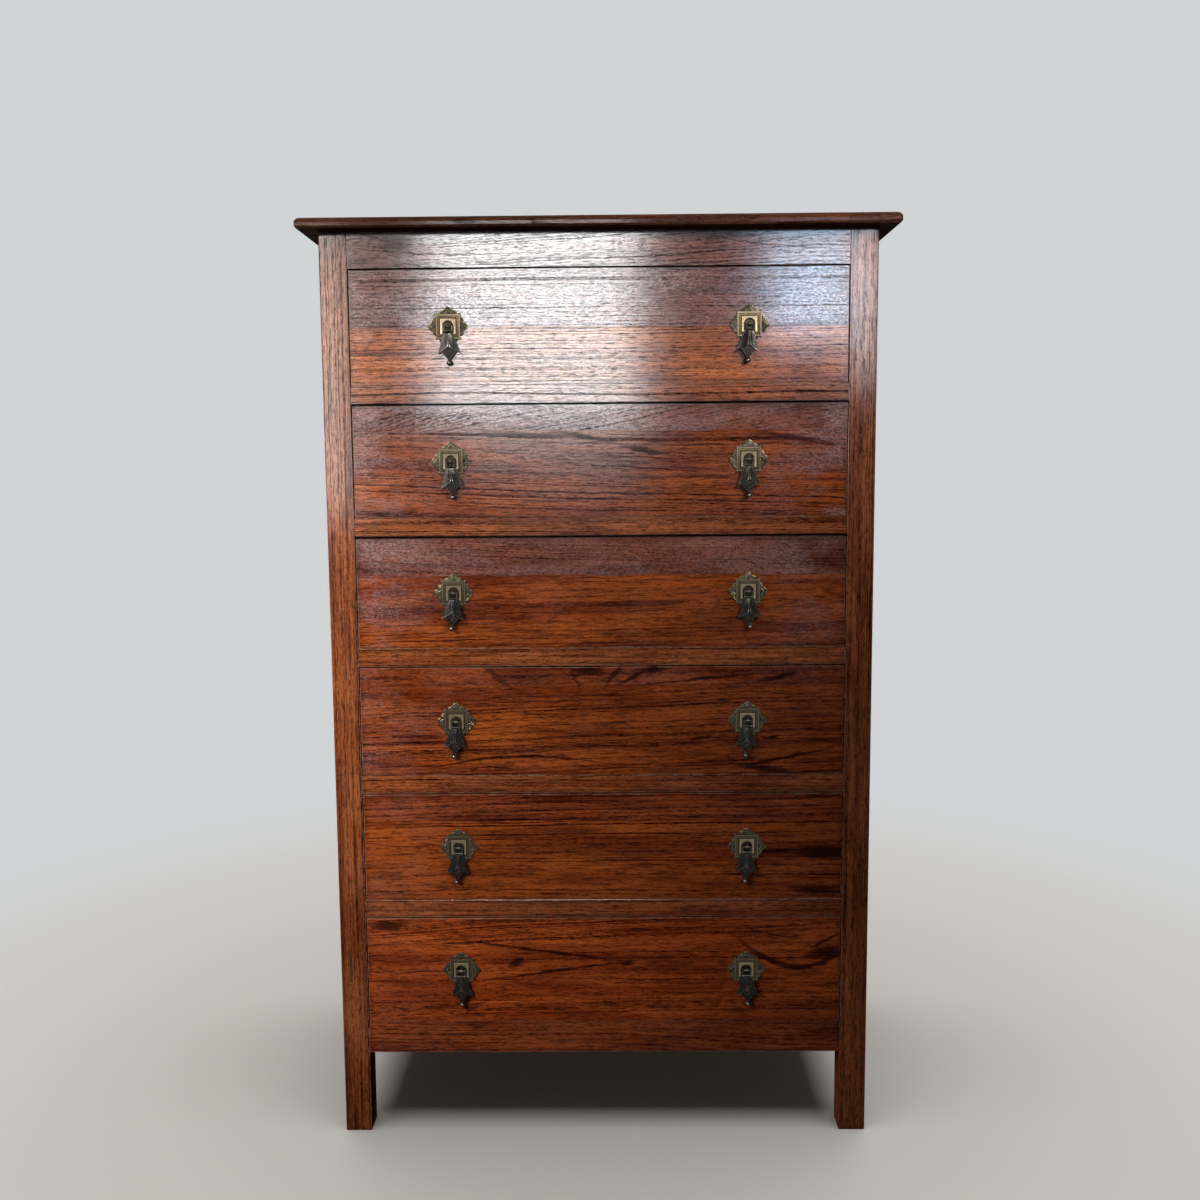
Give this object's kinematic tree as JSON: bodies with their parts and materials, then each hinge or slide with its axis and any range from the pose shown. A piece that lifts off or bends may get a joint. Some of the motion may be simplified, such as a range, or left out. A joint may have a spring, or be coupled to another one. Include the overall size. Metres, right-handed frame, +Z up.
{
  "type": "tallboy",
  "caption": "Tall oak chest of equal flush drawers on square corner posts, with a moulded top and hanging pendant pulls.",
  "frame": {"origin": "on the floor, under the middle of the whole piece with its top board", "axes": "+Z up, -Y out of the drawer fronts, +X to the right as seen from the front"},
  "size_m": [0.8128, 0.485, 1.3047],
  "materials": {
    "case_oak": "dark red-brown stained oak, worn gloss varnish",
    "drawer_oak": "red-brown stained oak, worn gloss varnish",
    "panel_oak": "stained oak-faced plywood, satin",
    "lining_wood": "plain unpolished wood",
    "plate_brass": "antique brass, worn on its edges",
    "pendant_bronze": "dark bronzed brass, worn on its ridges"
  },
  "bodies": {
    "carcass": {"top_board": "case_oak", "front_post_left": "case_oak", "front_post_right": "case_oak", "back_post_left": "case_oak", "back_post_right": "case_oak", "frieze_rail": "case_oak", "apron_rail": "case_oak", "drawer_frame_1": "case_oak", "drawer_frame_2": "case_oak", "drawer_frame_3": "case_oak", "drawer_frame_4": "case_oak", "drawer_frame_5": "case_oak", "bottom_frame": "case_oak", "top_frame": "case_oak", "side_panel_left": "panel_oak", "side_panel_right": "panel_oak", "back_panel": "panel_oak"},
    "drawer_1": {"drawer_1_front": "drawer_oak", "drawer_1_box": "lining_wood", "drawer_1_bottom": "lining_wood", "pull_plate_1_left": "plate_brass", "pull_plate_1_right": "plate_brass"},
    "pendant_1_left": {"pendant_1_left": "pendant_bronze"},
    "pendant_1_right": {"pendant_1_right": "pendant_bronze"},
    "drawer_2": {"drawer_2_front": "drawer_oak", "drawer_2_box": "lining_wood", "drawer_2_bottom": "lining_wood", "pull_plate_2_left": "plate_brass", "pull_plate_2_right": "plate_brass"},
    "pendant_2_left": {"pendant_2_left": "pendant_bronze"},
    "pendant_2_right": {"pendant_2_right": "pendant_bronze"},
    "drawer_3": {"drawer_3_front": "drawer_oak", "drawer_3_box": "lining_wood", "drawer_3_bottom": "lining_wood", "pull_plate_3_left": "plate_brass", "pull_plate_3_right": "plate_brass"},
    "pendant_3_left": {"pendant_3_left": "pendant_bronze"},
    "pendant_3_right": {"pendant_3_right": "pendant_bronze"},
    "drawer_4": {"drawer_4_front": "drawer_oak", "drawer_4_box": "lining_wood", "drawer_4_bottom": "lining_wood", "pull_plate_4_left": "plate_brass", "pull_plate_4_right": "plate_brass"},
    "pendant_4_left": {"pendant_4_left": "pendant_bronze"},
    "pendant_4_right": {"pendant_4_right": "pendant_bronze"},
    "drawer_5": {"drawer_5_front": "drawer_oak", "drawer_5_box": "lining_wood", "drawer_5_bottom": "lining_wood", "pull_plate_5_left": "plate_brass", "pull_plate_5_right": "plate_brass"},
    "pendant_5_left": {"pendant_5_left": "pendant_bronze"},
    "pendant_5_right": {"pendant_5_right": "pendant_bronze"},
    "drawer_6": {"drawer_6_front": "drawer_oak", "drawer_6_box": "lining_wood", "drawer_6_bottom": "lining_wood", "pull_plate_6_left": "plate_brass", "pull_plate_6_right": "plate_brass"},
    "pendant_6_left": {"pendant_6_left": "pendant_bronze"},
    "pendant_6_right": {"pendant_6_right": "pendant_bronze"}
  },
  "joints": [
    {"name": "drawer_1_slide", "type": "slide", "parent": "carcass", "child": "drawer_1", "axis": [0, -1, 0], "range_m": [0, 0.33]},
    {"name": "pendant_1_left_swing", "type": "hinge", "parent": "drawer_1", "child": "pendant_1_left", "pos_m": [-0.206, -0.2201, 1.1619], "axis": [-1, 0, 0], "range_deg": [0, 100]},
    {"name": "pendant_1_right_swing", "type": "hinge", "parent": "drawer_1", "child": "pendant_1_right", "pos_m": [0.206, -0.2201, 1.1619], "axis": [-1, 0, 0], "range_deg": [0, 100]},
    {"name": "drawer_2_slide", "type": "slide", "parent": "carcass", "child": "drawer_2", "axis": [0, -1, 0], "range_m": [0, 0.33]},
    {"name": "pendant_2_left_swing", "type": "hinge", "parent": "drawer_2", "child": "pendant_2_left", "pos_m": [-0.206, -0.2201, 0.9787], "axis": [-1, 0, 0], "range_deg": [0, 100]},
    {"name": "pendant_2_right_swing", "type": "hinge", "parent": "drawer_2", "child": "pendant_2_right", "pos_m": [0.206, -0.2201, 0.9787], "axis": [-1, 0, 0], "range_deg": [0, 100]},
    {"name": "drawer_3_slide", "type": "slide", "parent": "carcass", "child": "drawer_3", "axis": [0, -1, 0], "range_m": [0, 0.33]},
    {"name": "pendant_3_left_swing", "type": "hinge", "parent": "drawer_3", "child": "pendant_3_left", "pos_m": [-0.206, -0.2201, 0.7955], "axis": [-1, 0, 0], "range_deg": [0, 100]},
    {"name": "pendant_3_right_swing", "type": "hinge", "parent": "drawer_3", "child": "pendant_3_right", "pos_m": [0.206, -0.2201, 0.7955], "axis": [-1, 0, 0], "range_deg": [0, 100]},
    {"name": "drawer_4_slide", "type": "slide", "parent": "carcass", "child": "drawer_4", "axis": [0, -1, 0], "range_m": [0, 0.33]},
    {"name": "pendant_4_left_swing", "type": "hinge", "parent": "drawer_4", "child": "pendant_4_left", "pos_m": [-0.206, -0.2201, 0.6123], "axis": [-1, 0, 0], "range_deg": [0, 100]},
    {"name": "pendant_4_right_swing", "type": "hinge", "parent": "drawer_4", "child": "pendant_4_right", "pos_m": [0.206, -0.2201, 0.6123], "axis": [-1, 0, 0], "range_deg": [0, 100]},
    {"name": "drawer_5_slide", "type": "slide", "parent": "carcass", "child": "drawer_5", "axis": [0, -1, 0], "range_m": [0, 0.33]},
    {"name": "pendant_5_left_swing", "type": "hinge", "parent": "drawer_5", "child": "pendant_5_left", "pos_m": [-0.206, -0.2201, 0.4291], "axis": [-1, 0, 0], "range_deg": [0, 100]},
    {"name": "pendant_5_right_swing", "type": "hinge", "parent": "drawer_5", "child": "pendant_5_right", "pos_m": [0.206, -0.2201, 0.4291], "axis": [-1, 0, 0], "range_deg": [0, 100]},
    {"name": "drawer_6_slide", "type": "slide", "parent": "carcass", "child": "drawer_6", "axis": [0, -1, 0], "range_m": [0, 0.33]},
    {"name": "pendant_6_left_swing", "type": "hinge", "parent": "drawer_6", "child": "pendant_6_left", "pos_m": [-0.206, -0.2201, 0.2459], "axis": [-1, 0, 0], "range_deg": [0, 100]},
    {"name": "pendant_6_right_swing", "type": "hinge", "parent": "drawer_6", "child": "pendant_6_right", "pos_m": [0.206, -0.2201, 0.2459], "axis": [-1, 0, 0], "range_deg": [0, 100]}
  ]
}
